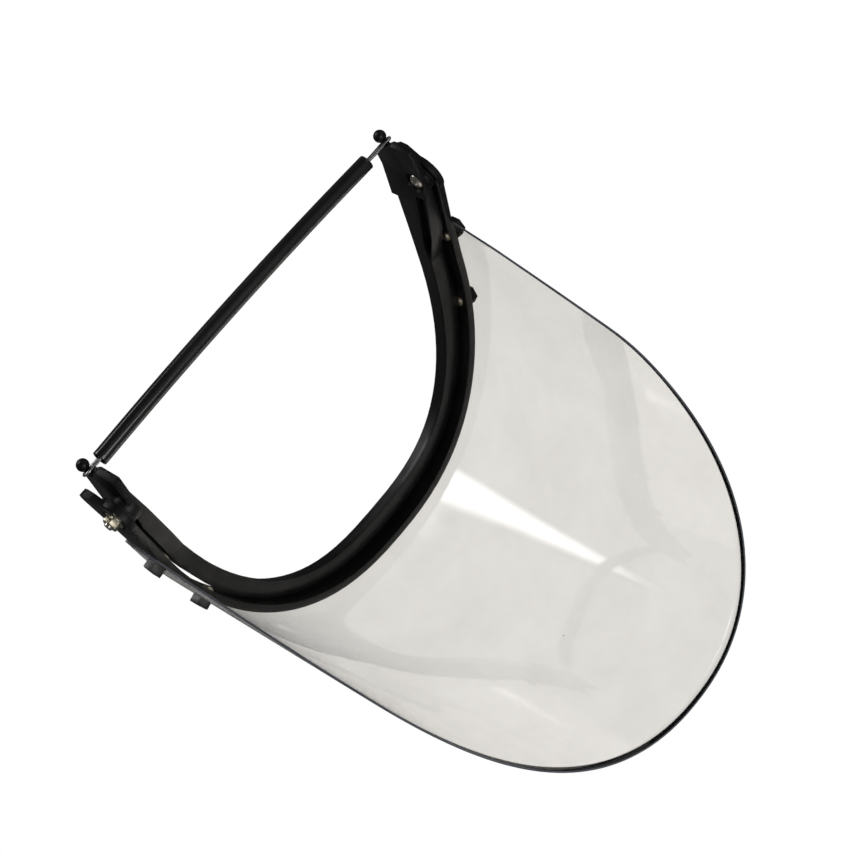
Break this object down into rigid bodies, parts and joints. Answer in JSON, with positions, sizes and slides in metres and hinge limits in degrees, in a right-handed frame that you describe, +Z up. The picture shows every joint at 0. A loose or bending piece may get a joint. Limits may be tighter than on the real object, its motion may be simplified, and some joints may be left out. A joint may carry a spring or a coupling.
{
  "type": "face shield",
  "caption": "Hard-hat face shield: U-shaped frame held round the brim by a sleeved spring, with an outer carrier that swings a clear curved visor up on side pivots.",
  "frame": {"origin": "middle of the pivot axis, between the two side pivots", "axes": "+X towards the wearer's left along the pivot axis, +Y towards the back of the head, +Z up as worn"},
  "size_m": [0.2222, 0.183, 0.2056],
  "materials": {
    "frame_plastic": "satin moulded black",
    "carrier_plastic": "satin moulded black",
    "visor_sheet": "clear polycarbonate",
    "zinc_screw": "zinc plated",
    "zinc_nut": "yellow zinc plated",
    "washer_fibre": "plain",
    "washer_steel": "zinc plated",
    "bolt_black": "semi-gloss black",
    "insert_zinc": "zinc plated",
    "spring_steel": "bright spring wire",
    "sleeve_pvc": "glossy black tube"
  },
  "bodies": {
    "frame": {"brim_frame": "frame_plastic", "pivot_screw_left": "zinc_screw", "friction_washer_left": "washer_fibre", "spring_washer_left": "washer_steel", "flange_washer_left": "washer_steel", "pivot_nut_left": "zinc_nut", "pivot_screw_right": "zinc_screw", "friction_washer_right": "washer_fibre", "spring_washer_right": "washer_steel", "flange_washer_right": "washer_steel", "pivot_nut_right": "zinc_nut"},
    "carrier": {"visor_carrier": "carrier_plastic", "visor": "visor_sheet", "visor_bolt_left_rear": "bolt_black", "visor_insert_left_rear": "insert_zinc", "visor_bolt_left_front": "bolt_black", "visor_insert_left_front": "insert_zinc", "visor_bolt_right_rear": "bolt_black", "visor_insert_right_rear": "insert_zinc", "visor_bolt_right_front": "bolt_black", "visor_insert_right_front": "insert_zinc"},
    "spring": {"spring_coil": "spring_steel", "spring_loop_left": "spring_steel", "spring_loop_right": "spring_steel"},
    "sleeve": {"spring_sleeve": "sleeve_pvc"}
  },
  "joints": [
    {"name": "visor_flip", "type": "hinge", "parent": "frame", "child": "carrier", "pos_m": [0, 0, 0], "axis": [-1, 0, 0], "range_deg": [0, 80]},
    {"name": "spring_tilt", "type": "hinge", "parent": "frame", "child": "spring", "pos_m": [0, 0.01802, 0.01342], "axis": [1, 0, 0], "range_deg": [-8, 8]},
    {"name": "sleeve_slide", "type": "slide", "parent": "spring", "child": "sleeve", "axis": [-1, 0, 0], "range_m": [0, 0.005]}
  ]
}
